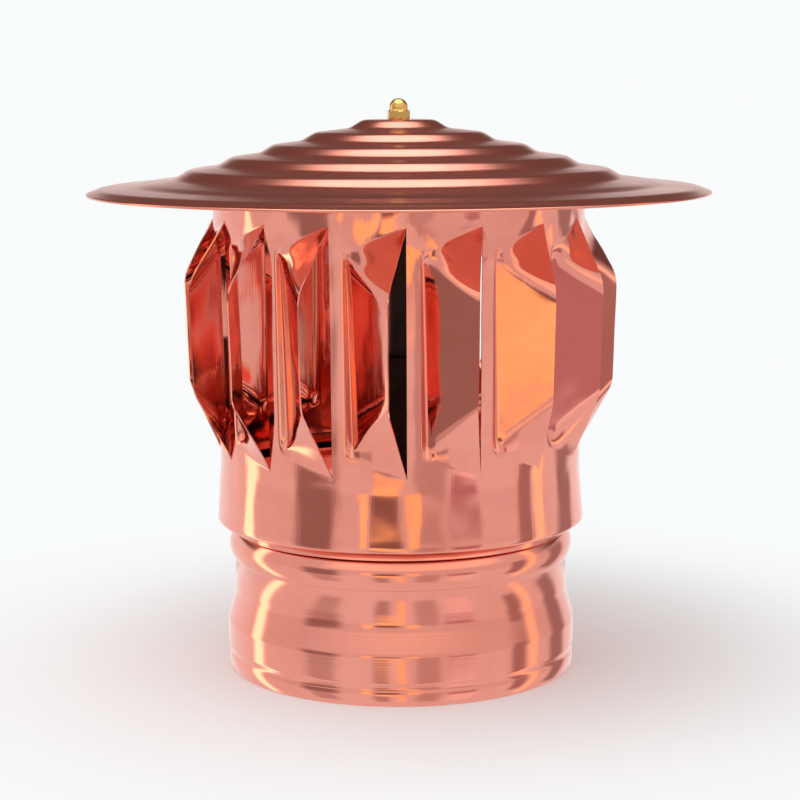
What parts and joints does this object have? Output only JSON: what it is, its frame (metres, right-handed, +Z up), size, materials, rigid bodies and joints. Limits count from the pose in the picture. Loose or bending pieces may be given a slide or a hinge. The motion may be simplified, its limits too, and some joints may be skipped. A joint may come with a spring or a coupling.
{
  "type": "rotary chimney cowl",
  "caption": "Wind-driven copper chimney cowl: louvred drum and stepped cap turning on a spindle above a beaded flue socket.",
  "frame": {"origin": "centre of the flue socket's lower rim, on the axis of the spindle", "axes": "+Z up along the spindle, -Y towards the viewer of the picture, +X to the viewer's right"},
  "size_m": [0.3562, 0.3562, 0.3286],
  "materials": {
    "copper_drum": "polished",
    "copper_cap": "satin",
    "copper_socket": "polished",
    "copper_plate": "satin",
    "brass_nut": "polished",
    "steel_bridge": "satin",
    "steel_tube": "satin",
    "steel_bright": "bright",
    "steel_zinc": "zinc plated",
    "spring_steel": "phosphated",
    "cage_brass": "satin"
  },
  "bodies": {
    "base": {"base_collar": "copper_socket", "bridge": "steel_bridge", "bridge_rivets": "copper_plate", "bearing_tube": "steel_tube", "tube_bolts": "steel_zinc", "tube_nuts": "steel_zinc", "bearing_outers": "steel_bright", "bearing_shields": "steel_zinc", "tube_clips": "spring_steel"},
    "rotor": {"spindle": "steel_tube", "bearing_inners": "steel_bright", "inner_spacer": "steel_zinc", "thrust_washer": "steel_zinc", "spindle_clip": "spring_steel", "hub_plate": "copper_plate", "vane_drum": "copper_drum", "plate_rivets": "copper_plate", "hub_washer": "steel_zinc", "hub_nut": "steel_zinc", "cap_sleeve": "steel_zinc", "cap": "copper_cap", "acorn_nut": "brass_nut"},
    "ball_row_lower": {"balls_lower": "steel_bright", "cage_lower": "cage_brass"},
    "ball_row_upper": {"balls_upper": "steel_bright", "cage_upper": "cage_brass"}
  },
  "joints": [
    {"name": "rotor_spin", "type": "hinge", "parent": "base", "child": "rotor", "pos_m": [0, 0, 0.107], "axis": [0, 0, 1], "continuous": true},
    {"name": "lower_row_spin", "type": "hinge", "parent": "base", "child": "ball_row_lower", "pos_m": [0, 0, 0.11], "axis": [0, 0, 1], "continuous": true},
    {"name": "upper_row_spin", "type": "hinge", "parent": "base", "child": "ball_row_upper", "pos_m": [0, 0, 0.17], "axis": [0, 0, 1], "continuous": true}
  ],
  "couplings": [
    {"joint": "lower_row_spin", "follows": "rotor_spin", "ratio": 0.3677},
    {"joint": "upper_row_spin", "follows": "rotor_spin", "ratio": 0.3677}
  ]
}
